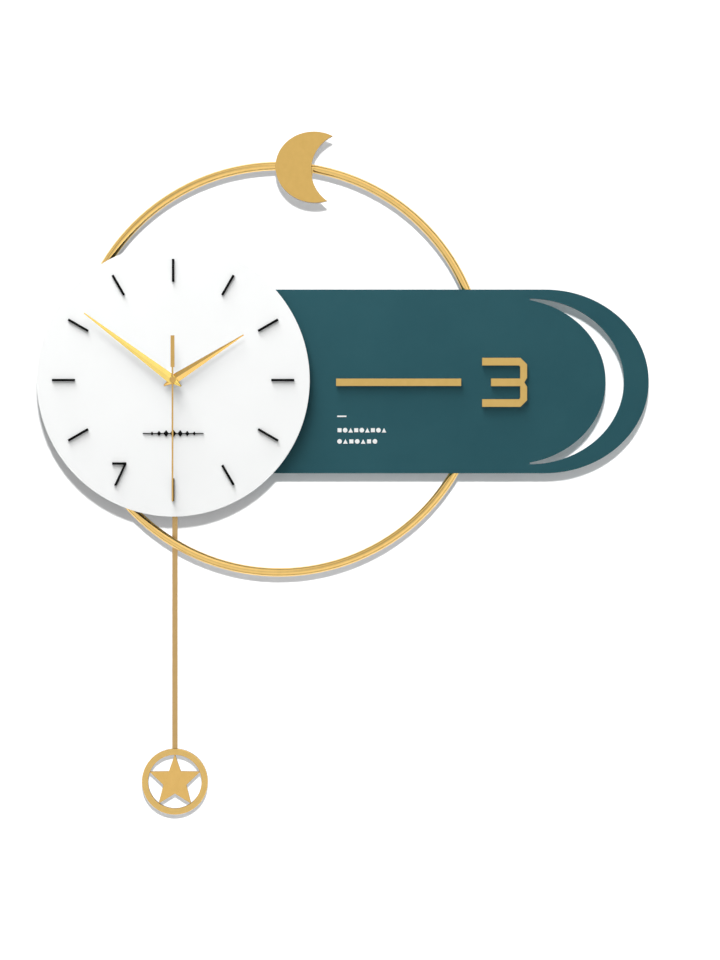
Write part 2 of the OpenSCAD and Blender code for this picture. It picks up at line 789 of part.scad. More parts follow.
module hour_wheel() color(nylon) hung() difference() {
    union() {
        bar([0, 0], hour_r, hour_layer, hour_hand_at + hour_seat);
        gear([0, 0], z_hour, m_motion, 0, hour_layer, hour_layer + wheel_t);
    }
    bar([0, 0], minute_r + play, hour_layer - through, minute_hand_at);
}

// Knurled knob behind the cover, on a stem with the setting pinion
module setting_knob() color("#d8d8d6") hung() {
    motion_at = mesh_at(motion_dir, z_cannon, 0, z_motion);
    rear = cover_at - knob_gap - knob_t;
    knurls = 36;
    knurl_in = 0.4;
    gear(knob_spot, z_knob, m_cannon, mesh_at(knob_dir, z_motion, motion_at, z_knob),
         motion_layer - cannon_over, motion_layer + wheel_t + cannon_over);
    bar(knob_spot, knob_stem_r, rear + knob_t, motion_layer);
    bar(knob_spot, pivot_r, motion_layer, inner_front + pivot_in);
    slab(rear, rear + knob_t) translate(knob_spot) polygon([
        for (i = [0:2 * knurls - 1])
            let (t = 180 / knurls * i) (knob_r - (i % 2) * knurl_in) * [cos(t), sin(t)]
    ]);
}

// ---- hands ----

hand_w = 9.6;           // width at the shoulder, just past the hub
tip_w = 1.2;
tail_w = 1.4;
tail_len = 11;
shoulder = 3;
edge_t = 0.6;           // thickness of a hand's edges
ridge_t = 1.7;          // and of its ridge
hub_t = 2.5;
hub_back = 0.8;         // how far a hub stands behind its hand

// Tapering hand with a ridge along its middle, pointing to twelve, with its rear face at depth d
module ridged_hand(length, d) {
    right = [[tip_w / 2, length], [hand_w / 2, shoulder], [tail_w / 2, -tail_len]];
    left = [for (i = [2:-1:0]) [-right[i][0], right[i][1]]];
    outline = concat(left, right);
    back = [for (p = outline) [p[0], -d, p[1]]];
    rim = [for (p = outline) [p[0], -d - edge_t, p[1]]];
    ridge = [[0, -d - ridge_t * 0.7, -tail_len], [0, -d - ridge_t, shoulder], [0, -d - edge_t - 0.3, length]];
    polyhedron(points = concat(back, rim, ridge), faces = [
        [5, 4, 3, 2, 1, 0],
        [0, 1, 7, 6], [1, 2, 8, 7], [2, 3, 9, 14, 8], [3, 4, 10, 9], [4, 5, 11, 10], [5, 0, 6, 12, 11],
        [6, 7, 13], [6, 13, 12], [7, 8, 14], [7, 14, 13],
        [9, 10, 13], [9, 13, 14], [10, 11, 12], [10, 12, 13]
    ]);
}

// Hand on its hub, with a bore of radius r through both
module hubbed_hand(length, d, hub_r, r) difference() {
    union() {
        ridged_hand(length, d);
        bar([0, 0], hub_r, d - hub_back, d - hub_back + hub_t);
    }
    bar([0, 0], r, d - hub_back - through, d + hub_t + through);
}

module hour_hand() color(gold) hung() rotate([0, hour_at, 0]) hubbed_hand(hour_len, hour_hand_at, 4, hour_r);

module minute_hand() color(gold) hung() rotate([0, minute_at, 0])
    hubbed_hand(minute_len, minute_hand_at, 3.4, minute_r);

// Needle with a wider counterweight, and a round cap over the end of the arbor
module second_hand() color(gold) hung() rotate([0, second_at, 0]) difference() {
    needle_t = 0.7;
    needle_w = 1.7;
    point_len = 1.6;
    weight_w = 4;
    weight_z = [-45.2, -13];
    cap_r = 3;
    cap_top_r = 1.8;
    cap_back = 0.6;
    cap_at = second_hand_at + 1.4;
    low = weight_z[1] - through;
    high = second_len - point_len;
    union() {
        slab(second_hand_at, second_hand_at + needle_t) {
            polygon([[-needle_w / 2, low], [-needle_w / 2, high], [0, second_len],
                     [needle_w / 2, high], [needle_w / 2, low]]);
            translate([-weight_w / 2, weight_z[0]]) square([weight_w, weight_z[1] - weight_z[0]]);
        }
        bar([0, 0], cap_r, second_hand_at - cap_back, cap_at);
        translate([0, -cap_at, 0]) rotate([90, 0, 0]) cylinder(r1 = cap_r, r2 = cap_top_r, h = cap_back);
    }
    bar([0, 0], second_r, second_hand_at - cap_back - through, second_hand_at + second_seat);
}

// ---- pendulum ----

module lever_pivot_pin() color(steel) hung() {
    bar([0, lever_z], lever_pin_r, lever_at - pin_gap - pin_head_t, inner_rear);
    bar([0, lever_z], pin_head_r, lever_at - pin_gap - pin_head_t, lever_at - pin_gap);
}

// Plastic lever that carries the drive magnet and the rod, swinging behind the cover
module pendulum_lever() color(nylon) hung() difference() {
    arm_w = 6;
    pivot_boss_r = 4.2;
    magnet_rim = 2;
    union() {
        slab(lever_at, lever_at + lever_t) {
            translate([0, lever_z]) circle(r = pivot_boss_r);
            translate([-arm_w / 2, peg_z]) square([arm_w, lever_z - peg_z]);
            translate([0, magnet_z]) circle(r = lever_magnet_r + magnet_rim);
            translate([0, peg_z]) circle(r = arm_w / 2);
        }
        bar([0, peg_z], peg_r, rod_at - peg_gap, lever_at);
        bar([0, peg_z], peg_head_r, rod_at - peg_gap - peg_head_t, rod_at - peg_gap);
    }
    bar([0, lever_z], lever_pin_r + play, lever_at - through, lever_at + lever_t + through);
    bar([0, magnet_z], lever_magnet_r, lever_at - through, lever_at + lever_t + through);
}

module lever_magnet() color("#8d9196") hung()
    bar([0, magnet_z], lever_magnet_r, lever_at, lever_at + lever_t + lever_magnet_over);

// Flat strip that hangs on the lever's peg by a keyhole
module pendulum_rod() color(gold) hung() slab(rod_at, rod_at + rod_t) difference() {
    eye_z = peg_z - eye_drop;
    low = -bob_drop + bob_r - rod_end;
    union() {
        for (z = [peg_z, eye_z]) translate([0, z]) circle(r = eye_r);
        translate([-eye_r, eye_z]) square([2 * eye_r, eye_drop]);
        translate([-rod_w / 2, low]) square([rod_w, eye_z - low]);
    }
    translate([0, peg_z]) circle(r = peg_r + play);
    translate([-peg_r - play, eye_z]) square([2 * (peg_r + play), eye_drop]);
    translate([0, eye_z]) circle(r = peg_head_r + 4 * play);
}

bob_inner = bob_r - 6.5;
module bob_ring() color(gold) hung() difference() {
    bar([0, -bob_drop], bob_r, bob_at, bob_at + bob_t);
    bar([0, -bob_drop], bob_inner, bob_at - through, bob_at + bob_t + through);
    block([-rod_w / 2, rod_at, -bob_drop + bob_r - rod_end],
          [rod_w / 2, rod_at + rod_t, -bob_drop + bob_r + through]);
}

// Star with a narrow head and raised arms. Its points are cut to the ring's inside, where they are welded
module bob_star() color(gold) hung() slab(bob_at + 1, bob_at + bob_t - 1) translate([0, -bob_drop]) {
    reach = bob_inner + 1;
    notch = 0.45 * bob_inner;
    right = [reach * [0, 1], notch * [cos(60), sin(60)], reach * [cos(21.5), sin(21.5)],
             notch * [cos(-16), sin(-16)], reach * [cos(-53.5), sin(-53.5)], notch * [0, -1]];
    left = [for (i = [4:-1:1]) [-right[i][0], right[i][1]]];
    intersection() {
        circle(r = bob_inner);
        polygon(concat(right, left));
    }
}

// AA cell with its raised button to the right
module aa_battery() color("#4a4d52") hung() translate([0, -battery_at, battery_z]) rotate([0, 90, 0]) {
    translate([0, 0, -battery_len / 2]) cylinder(r = battery_r, h = battery_len);
    translate([0, 0, battery_len / 2]) cylinder(r = button_r, h = button_h);
}

dial_disc();
hour_markers();
numeral_seven();
dial_ornament();
side_panel();
panel_bar();
numeral_three();
panel_print_marks();
hoop();
hoop_screws();
crescent_moon();
dial_spacers();
dial_screws();
hanger_brackets();
hanger_screws();
wall_posts();
wall_pads();
movement_case();
movement_cover();
cover_screws();
threaded_bushing();
bushing_nut();
dial_washer();
rubber_gasket();
spring_contact();
flat_contact();
circuit_board();
clock_chip();
quartz_crystal();
motor_stator();
motor_core();
motor_coil();
pendulum_coil();
lever_pivot_pin();
rotor_arbor();
rotor_magnet();
intermediate_wheel();
second_wheel();
second_hand();
third_wheel();
centre_wheel();
minute_arbor();
clutch_spring();
minute_hand();
motion_wheel();
hour_wheel();
hour_hand();
setting_knob();
pendulum_lever();
lever_magnet();
pendulum_rod();
bob_ring();
bob_star();
aa_battery();
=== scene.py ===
"""Looks of the pendulum wall clock.

Materials, finished copies of the CAD pieces, fasteners, light and camera. Everything is in metres in the
clock's own frame: X right, Z up, and the wall is the plane y = 0."""

import json
import math

import bmesh
import bpy
from mathutils import Matrix, Vector


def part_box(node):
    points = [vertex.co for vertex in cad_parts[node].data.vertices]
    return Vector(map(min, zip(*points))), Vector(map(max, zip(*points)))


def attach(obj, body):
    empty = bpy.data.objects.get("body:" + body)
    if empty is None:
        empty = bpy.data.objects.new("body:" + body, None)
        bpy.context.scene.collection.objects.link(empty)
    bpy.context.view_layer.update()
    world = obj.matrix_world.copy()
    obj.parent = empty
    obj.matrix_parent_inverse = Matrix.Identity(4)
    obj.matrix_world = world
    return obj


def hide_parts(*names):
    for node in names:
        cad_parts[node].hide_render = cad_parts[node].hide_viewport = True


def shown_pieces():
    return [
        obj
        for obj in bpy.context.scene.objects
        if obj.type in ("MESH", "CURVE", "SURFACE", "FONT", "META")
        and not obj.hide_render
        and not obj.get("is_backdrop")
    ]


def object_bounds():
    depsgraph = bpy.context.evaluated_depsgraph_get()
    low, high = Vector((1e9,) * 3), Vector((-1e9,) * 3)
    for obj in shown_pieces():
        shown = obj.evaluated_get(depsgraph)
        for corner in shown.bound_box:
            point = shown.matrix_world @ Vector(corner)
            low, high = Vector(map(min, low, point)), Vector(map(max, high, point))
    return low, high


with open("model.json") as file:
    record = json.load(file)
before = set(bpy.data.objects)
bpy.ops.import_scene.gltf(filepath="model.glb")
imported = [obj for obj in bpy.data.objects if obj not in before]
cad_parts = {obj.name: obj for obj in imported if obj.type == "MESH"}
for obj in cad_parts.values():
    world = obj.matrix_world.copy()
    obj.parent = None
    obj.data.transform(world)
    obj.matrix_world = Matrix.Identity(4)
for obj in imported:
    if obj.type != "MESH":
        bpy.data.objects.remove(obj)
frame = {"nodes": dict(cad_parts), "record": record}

MM = 0.001
CAD_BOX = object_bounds()
BODY_OF = {node: body for body, nodes in frame["record"]["behaviour"]["bodies"].items() for node in nodes}
SLOT_OF = {part["node"]: part["material_slot"] for part in frame["record"]["subparts"]}
SCENE = bpy.context.scene
WELD = 0.002 * MM            # points closer than this are one
FLAT = math.radians(0.3)     # faces that meet at less than this are one
ON_AXIS = 1e-7               # a turned profile's radius below this is a point on the axis


# ---------------------------------------------------------------- materials

class Look:
    """A node material being built: one Principled shader, with patterns in object space.

    Scales are in repeats per metre. Numbers that don't vary are set on the shader's own sockets."""

    def __init__(self, name, **sockets):
        self.material = bpy.data.materials.new(name)
        self.material.use_nodes = True
        self.tree = self.material.node_tree
        self.shader = self.tree.nodes["Principled BSDF"]
        self.place = self.node("ShaderNodeTexCoord").outputs["Object"]
        for key, value in sockets.items():
            self.shader.inputs[key.replace("_", " ")].default_value = value

    def node(self, kind, **settings):
        made = self.tree.nodes.new(kind)
        for key, value in settings.items():
            setattr(made, key, value)
        return made

    def join(self, source, target):
        self.tree.links.new(source, target)

    def stretched(self, stretch, turn=(0, 0, 0), move=(0, 0, 0)):
        """Object coordinates, multiplied axis by axis, for grain that runs one way."""
        mapping = self.node("ShaderNodeMapping")
        mapping.inputs["Location"].default_value = move
        mapping.inputs["Rotation"].default_value = turn
        mapping.inputs["Scale"].default_value = stretch
        self.join(self.place, mapping.inputs["Vector"])
        return mapping.outputs["Vector"]

    def noise(self, scale, detail=3.0, rough=0.55, at=None):
        made = self.node("ShaderNodeTexNoise")
        made.inputs["Scale"].default_value = scale
        made.inputs["Detail"].default_value = detail
        made.inputs["Roughness"].default_value = rough
        self.join(at or self.place, made.inputs["Vector"])
        return made.outputs["Fac"]

    def cells(self, scale):
        made = self.node("ShaderNodeTexVoronoi")
        made.inputs["Scale"].default_value = scale
        self.join(self.place, made.inputs["Vector"])
        return made.outputs["Distance"]

    def math(self, operation, a, b=0.0):
        made = self.node("ShaderNodeMath", operation=operation)
        for socket, value in zip(made.inputs, (a, b)):
            if isinstance(value, (int, float)):
                socket.default_value = value
            else:
                self.join(value, socket)
        return made.outputs[0]

    def spread(self, value, low, high, start=0.3, end=0.7):
        """Maps a pattern's middle range onto low to high."""
        made = self.node("ShaderNodeMapRange")
        self.join(value, made.inputs["Value"])
        for key, number in (("From Min", start), ("From Max", end), ("To Min", low), ("To Max", high)):
            made.inputs[key].default_value = number
        return made.outputs["Result"]

    def mix(self, fac, a, b):
        """Colour between a and b, each a colour or another pattern's output."""
        made = self.node("ShaderNodeMix", data_type="RGBA")
        self.join(fac, made.inputs["Factor"])
        for socket, value in ((made.inputs["A"], a), (made.inputs["B"], b)):
            if isinstance(value, tuple):
                socket.default_value = (*value, 1.0)
            else:
                self.join(value, socket)
        return made.outputs["Result"]

    def colour(self, output):
        self.join(output, self.shader.inputs["Base Color"])

    def roughness(self, output):
        self.join(output, self.shader.inputs["Roughness"])

    def bump(self, *layers):
        """Stacks bumps, each (pattern, height in mm)."""
        normal = None
        for pattern, height in layers:
            made = self.node("ShaderNodeBump")
            made.inputs["Distance"].default_value = height * MM
            self.join(pattern, made.inputs["Height"])
            if normal:
                self.join(normal, made.inputs["Normal"])
            normal = made.outputs["Normal"]
        self.join(normal, self.shader.inputs["Normal"])


def lacquer(name, low, high, rough, grain, grain_scale, specular=0.5):
    """Sprayed paint: faint mottling, a little orange peel and a fine grain."""
    look = Look(name, Specular_IOR_Level=specular)
    look.colour(look.mix(look.spread(look.noise(14, 5), 0.0, 1.0), low, high))
    look.roughness(look.spread(look.noise(90, 3), rough - 0.04, rough + 0.05))
    look.bump((look.noise(260, 2), grain * 2), (look.noise(grain_scale, 2), grain))
    return look.material


def gold(name, low, high, rough, brushing=None, grain=0.0012):
    """Plated gold: colour and polish drift slightly, and a fine satin grain or hairlines cover it."""
    look = Look(name, Metallic=1.0)
    look.colour(look.mix(look.spread(look.noise(160, 4), 0.0, 1.0), low, high))
    look.roughness(look.spread(look.noise(420, 4), rough - 0.03, rough + 0.03))
    lines = look.noise(1.0, 3, at=look.stretched(brushing)) if brushing else look.noise(2600, 2)
    look.bump((look.noise(90, 2), grain * 2), (lines, grain))
    return look.material


def steel(name, low, high, rough, grain_scale=700):
    """Zinc-plated or rolled steel: a spangle of small cells and a fine grain."""
    look = Look(name, Metallic=1.0)
    spangle = look.cells(grain_scale * 0.5)
    look.colour(look.mix(look.spread(spangle, 0.0, 1.0, 0.1, 0.8), low, high))
    look.roughness(look.spread(look.noise(grain_scale, 3), rough - 0.06, rough + 0.08))
    look.bump((look.noise(grain_scale * 3, 2), 0.006))
    return look.material


def turned_metal(name, low, high, rough, node):
    """Turned metal: fine rings round the node's own axis, which lies along Y."""
    ring_rate = 26000        # radians per metre, for rings a quarter of a millimetre apart
    look = Look(name, Metallic=1.0)
    lo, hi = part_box(node)
    middle = (lo + hi) / 2
    at = look.stretched((1, 0, 1), move=(-middle.x, 0, -middle.z))
    length = look.node("ShaderNodeVectorMath", operation="LENGTH")
    look.join(at, length.inputs[0])
    rings = look.math("SINE", look.math("MULTIPLY", length.outputs["Value"], ring_rate))
    look.colour(look.mix(look.spread(look.noise(300, 3), 0.0, 1.0), low, high))
    look.roughness(look.spread(look.noise(500, 2), rough - 0.05, rough + 0.06))
    look.bump((rings, 0.003), (look.noise(1500, 2), 0.003))
    return look.material


def moulded(name, low, high, rough, texture_scale, texture=0.02, soft=0.0):
    """Moulded plastic with the eroded texture of its tool."""
    look = Look(name)
    if soft:
        look.shader.inputs["Subsurface Weight"].default_value = soft
        look.shader.inputs["Subsurface Radius"].default_value = (1.0, 0.9, 0.75)
        look.shader.inputs["Subsurface Scale"].default_value = 1.2 * MM
    look.colour(look.mix(look.spread(look.noise(50, 3), 0.0, 1.0), low, high))
    look.roughness(look.spread(look.noise(texture_scale * 0.4, 3), rough - 0.06, rough + 0.07))
    look.bump((look.noise(texture_scale, 3, 0.7), texture), (look.cells(texture_scale * 1.4), texture * 0.5))
    return look.material


def acrylic(name, low, high):
    """Laser-cut glossy acrylic: almost flat, with faint hairline scratches."""
    look = Look(name, Specular_IOR_Level=0.06)
    look.colour(look.mix(look.spread(look.noise(120, 3), 0.0, 1.0), low, high))
    look.roughness(look.spread(look.noise(400, 4), 0.22, 0.34))
    look.bump((look.noise(1.0, 2, at=look.stretched((900, 900, 90))), 0.002))
    return look.material


def ink(name, low, high):
    """Pad-printed ink with slightly uneven cover."""
    look = Look(name, Specular_IOR_Level=0.35)
    look.colour(look.mix(look.spread(look.noise(900, 3), 0.0, 1.0), low, high))
    look.roughness(look.spread(look.noise(1500, 2), 0.45, 0.6))
    look.bump((look.noise(3000, 2), 0.01))
    return look.material


def winding(name, low, high):
    """Enamelled wire, as close turns along Z that drift a little, with painted shade in the grooves between
    turns and painted highlight on their crests.
    """
    look = Look(name, Metallic=0.8, Coat_Weight=0.5, Coat_Roughness=0.15)
    wave = look.node("ShaderNodeTexWave", wave_type="BANDS", bands_direction="Z", wave_profile="SIN")
    wave.inputs["Scale"].default_value = 1500
    wave.inputs["Distortion"].default_value = 0.6
    look.join(look.place, wave.inputs["Vector"])
    # The colour follows the bump's bands: painted shade in the grooves, painted highlight on the crests.
    look.colour(look.mix(wave.outputs["Fac"], low, high))
    look.roughness(look.spread(look.noise(600, 2), 0.25, 0.4))
    look.bump((wave.outputs["Fac"], 0.06))
    return look.material


def board(name, low, high):
    """Solder mask with paler copper tracks under it."""
    look = Look(name, Coat_Weight=0.6, Coat_Roughness=0.12)
    tracks = look.node("ShaderNodeTexBrick", offset=0.35)
    tracks.inputs["Scale"].default_value = 260
    tracks.inputs["Mortar Size"].default_value = 0.05
    look.join(look.stretched((1, 1, 1), turn=(math.pi / 2, 0, 0)), tracks.inputs["Vector"])
    look.colour(look.mix(tracks.outputs["Fac"], low, high))
    look.roughness(look.spread(look.noise(500, 2), 0.28, 0.4))
    look.bump((tracks.outputs["Fac"], 0.03))
    return look.material


def foam(name, low, high, scale, depth):
    """Closed-cell foam or soft rubber: matt, with small open cells, painted darker in their hollows as
    painted shade.
    """
    look = Look(name, Specular_IOR_Level=0.25)
    look.shader.inputs["Sheen Weight"].default_value = 0.15
    cells = look.cells(scale)
    # The colour follows the cells that shape the bump: painted shade in the cell hollows.
    look.colour(look.mix(look.spread(cells, 0.0, 1.0, 0.1, 0.7), low, high))
    look.roughness(look.spread(look.noise(scale, 2), 0.75, 0.9))
    look.bump((cells, depth), (look.noise(scale * 3, 2), depth * 0.3))
    return look.material


def cell_sleeve(name):
    """Plain printed sleeve of the cell: silver-grey with a dark blue band at its button end."""
    band_share, blur = 0.27, 0.1 * MM
    look = Look(name, Metallic=0.35, Coat_Weight=0.5, Coat_Roughness=0.1)
    lo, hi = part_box("aa_battery")
    split = hi.x - band_share * (hi.x - lo.x)
    parts = look.node("ShaderNodeSeparateXYZ")
    look.join(look.place, parts.inputs[0])
    band = look.spread(parts.outputs["X"], 0.0, 1.0, split, split + blur)
    fleck = look.spread(look.noise(700, 3), 0.0, 1.0)
    silver = look.mix(fleck, (0.42, 0.44, 0.46), (0.52, 0.54, 0.56))
    blue = look.mix(fleck, (0.012, 0.03, 0.09), (0.018, 0.04, 0.12))
    look.colour(look.mix(band, silver, blue))
    look.roughness(look.spread(look.noise(300, 3), 0.24, 0.36))
    look.bump((look.noise(500, 2), 0.008))
    return look.material


LOOKS = {
    "dial_white": lacquer("dial_lacquer", (0.905, 0.915, 0.91), (0.925, 0.935, 0.93),
                          rough=0.5, grain=0.003, grain_scale=1600, specular=0.2),
    "black_acrylic": acrylic("black_acrylic", (0.0030, 0.0030, 0.0034), (0.0055, 0.0055, 0.0060)),
    "panel_teal": lacquer("teal_lacquer", (0.0155, 0.081, 0.101), (0.0190, 0.090, 0.110),
                          rough=0.62, grain=0.006, grain_scale=1900, specular=0.2),
    "print_white": ink("white_ink", (0.80, 0.82, 0.82), (0.90, 0.91, 0.90)),
    "gold_plate": gold("polished_gold", (0.82, 0.54, 0.18), (0.87, 0.58, 0.20), rough=0.15, grain=0.0006),
    "gold_foil": gold("satin_gold", (0.65, 0.435, 0.138), (0.69, 0.465, 0.158), rough=0.42),
    "gold_hand": gold("hand_gold", (0.91, 0.665, 0.175), (0.95, 0.70, 0.19), rough=0.22),
    "zinc_steel": steel("zinc_plate", (0.52, 0.54, 0.57), (0.68, 0.69, 0.70), rough=0.34),
    "silicon_steel": steel("rolled_steel", (0.30, 0.31, 0.33), (0.40, 0.41, 0.43), rough=0.45),
    "turned_brass": turned_metal("turned_brass", (0.66, 0.45, 0.15), (0.76, 0.53, 0.20),
                                 rough=0.25, node="threaded_bushing"),
    "movement_black": moulded("movement_plastic", (0.012, 0.013, 0.014), (0.020, 0.021, 0.023),
                              rough=0.52, texture_scale=1300),
    "post_black": moulded("post_plastic", (0.014, 0.014, 0.015), (0.022, 0.022, 0.024),
                          rough=0.45, texture_scale=1000),
    "white_nylon": moulded("white_nylon", (0.74, 0.73, 0.69), (0.80, 0.79, 0.75),
                           rough=0.42, texture_scale=1200, texture=0.01, soft=0.25),
    "gear_acetal": moulded("gear_acetal", (0.78, 0.76, 0.69), (0.84, 0.82, 0.76),
                           rough=0.32, texture_scale=2000, texture=0.004, soft=0.3),
    "copper_wire": winding("copper_winding", (0.35, 0.11, 0.03), (0.72, 0.30, 0.12)),
    "board_green": board("circuit_board", (0.010, 0.085, 0.030), (0.030, 0.17, 0.07)),
    "epoxy_black": moulded("chip_epoxy", (0.006, 0.006, 0.006), (0.012, 0.012, 0.012),
                           rough=0.5, texture_scale=900, texture=0.03),
    "ferrite": steel("magnet_ferrite", (0.035, 0.035, 0.038), (0.065, 0.065, 0.07),
                     rough=0.5, grain_scale=1500),
    "soft_rubber": foam("gasket_rubber", (0.010, 0.010, 0.010), (0.020, 0.020, 0.020),
                        scale=1500, depth=0.01),
    "foam_grey": foam("pad_foam", (0.06, 0.062, 0.065), (0.11, 0.113, 0.118), scale=1300, depth=0.06),
    "cell_sleeve": cell_sleeve("battery_sleeve"),
}
SECOND_GOLD = gold("second_gold", (0.66, 0.415, 0.13), (0.71, 0.45, 0.15), rough=0.34)
BOB_GOLD = gold("bob_gold", (0.80, 0.505, 0.155), (0.84, 0.535, 0.17), rough=0.30)
HOUR_GOLD = gold("hour_gold", (0.91, 0.575, 0.175), (0.95, 0.61, 0.19), rough=0.22)
MOON_GOLD = gold("moon_gold", (0.74, 0.475, 0.140), (0.78, 0.505, 0.155), rough=0.33)
# Dark bronze for the side walls of the moon, ring and star: a painted dark reflection of the shaded wall, not
# a darker metal.
PAINTED_SHADE_EDGE = gold("painted_shade_edge", (0.14, 0.08, 0.03), (0.19, 0.11, 0.045), rough=0.45)
BACK_PRIMER = lacquer("back_primer", (0.030, 0.030, 0.032), (0.045, 0.045, 0.047),
                      rough=0.6, grain=0.006, grain_scale=1200, specular=0.3)
ROD_GOLD = gold("rod_gold", (0.585, 0.38, 0.16), (0.63, 0.415, 0.175), rough=0.30, brushing=(900, 900, 30))
CELL_STEEL = steel("cell_steel", (0.60, 0.61, 0.62), (0.72, 0.72, 0.73), rough=0.22)
WHITE_NUT = lacquer("white_nut", (0.82, 0.83, 0.82), (0.88, 0.885, 0.88),
                    rough=0.35, grain=0.004, grain_scale=1500)
SIGN_WHITE = ink("sign_white", (0.55, 0.56, 0.56), (0.66, 0.67, 0.66))


# ---------------------------------------------------------------- geometry

def piece(name, bm, node, material=None, replaces=True, flat_caps=True):
    """Makes an object of bm that rides with the node's body and, unless told otherwise, stands for it."""
    bmesh.ops.recalc_face_normals(bm, faces=bm.faces)
    mesh = bpy.data.meshes.new(name)
    bm.to_mesh(mesh)
    bm.free()
    made = bpy.data.objects.new(name, mesh)
    SCENE.collection.objects.link(made)
    mesh.materials.append(material or LOOKS[SLOT_OF[node]])
    mesh.polygons.foreach_set("use_smooth", [True] * len(mesh.polygons))
    if flat_caps:
        weigh = made.modifiers.new("normals", "WEIGHTED_NORMAL")
        weigh.weight = 90
    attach(made, BODY_OF[node])
    if replaces:
        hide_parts(node)
    return made


def clean_copy(node):
    """The node's mesh with its seams welded and its flat faces merged."""
    bm = bmesh.new()
    bm.from_mesh(frame["nodes"][node].data)
    bmesh.ops.remove_doubles(bm, verts=bm.verts, dist=WELD)
    bmesh.ops.dissolve_limit(bm, angle_limit=FLAT, verts=bm.verts, edges=bm.edges)
    return bm


def is_wall(face):
    """True on a plate's cut edges, which run from front to back, give or take 20 degrees."""
    return abs(face.normal.y) < 0.35


def is_back(face):
    """True on a plate's flat back, give or take 25 degrees."""
    return face.normal.y > 0.9


def rounded(node, radius, name, material=None, segments=3, sharpest=38, second=None, takes=None):
    """A copy of a CAD node with its sharp edges rounded, in millimetres.

    A second material goes on the faces that "takes" picks."""
    bm = clean_copy(node)
    edges = [e for e in bm.edges if len(e.link_faces) == 2 and e.calc_face_angle(0) > math.radians(sharpest)]
    bmesh.ops.bevel(bm, geom=edges, offset=radius * MM, segments=segments, profile=0.5,
                    affect="EDGES", clamp_overlap=True)
    made = piece(name, bm, node, material)
    if second:
        made.data.materials.append(second)
        for face in filter(takes, made.data.polygons):
            face.material_index = 1
    return made


def islands(node):
    """The (lowest corner, highest corner) of each separate solid in a node, left to right."""
    bm = clean_copy(node)
    left = set(bm.verts)
    found = []
    while left:
        grow = [left.pop()]
        lo, hi = Vector(grow[0].co), Vector(grow[0].co)
        while grow:
            vert = grow.pop()
            lo, hi = Vector(map(min, lo, vert.co)), Vector(map(max, hi, vert.co))
            for edge in vert.link_edges:
                other = edge.other_vert(vert)
                if other in left:
                    left.remove(other)
                    grow.append(other)
        found.append((lo, hi))
    bm.free()
    return sorted(found, key=lambda box: (round(box[0].x, 4), box[0].z))


def lathe(bm, profile, centre, axis="Y", sides=48):
    """Turns a profile of (radius, place along the axis) round an axis along Y or X through centre."""
    centre = Vector(centre)
    rings = []
    for radius, along in profile:
        if radius < ON_AXIS:
            spot = (0, along, 0) if axis == "Y" else (along, 0, 0)
            rings.append([bm.verts.new(centre + Vector(spot))] * sides)
            continue
        ring = []
        for i in range(sides):
            turn = 2 * math.pi * i / sides
            c, s = radius * math.cos(turn), radius * math.sin(turn)
            spot = (c, along, s) if axis == "Y" else (along, c, s)
            ring.append(bm.verts.new(centre + Vector(spot)))
        rings.append(ring)
    for one, two in zip(rings, rings[1:]):
        for i in range(sides):
            j = (i + 1) % sides
            corners = list(dict.fromkeys([one[i], one[j], two[j], two[i]]))
            if len(corners) > 2:
                bm.faces.new(corners)
    return bm


def axis_at(lo, hi):
    """Where the front-to-back axis of a box meets the wall."""
    return ((lo.x + hi.x) / 2, 0, (lo.z + hi.z) / 2)


def arc(centre, radius, start, end, steps=5):
    """Points of a rounded corner in a lathe's profile; angles in degrees."""
    turns = [math.radians(start + (end - start) * i / steps) for i in range(steps + 1)]
    return [(centre[0] + radius * math.cos(t), centre[1] + radius * math.sin(t)) for t in turns]


def flat_shape(bm, outline, front, back):
    """Extrudes an outline of (x, z) points from y = front to y = back."""
    near = [bm.verts.new((x, front, z)) for x, z in outline]
    far = [bm.verts.new((x, back, z)) for x, z in outline]
    bm.faces.new(near)
    bm.faces.new(far[::-1])
    for i in range(len(outline)):
        j = (i + 1) % len(outline)
        bm.faces.new((near[i], far[i], far[j], near[j]))


# ---------------------------------------------------------------- fasteners

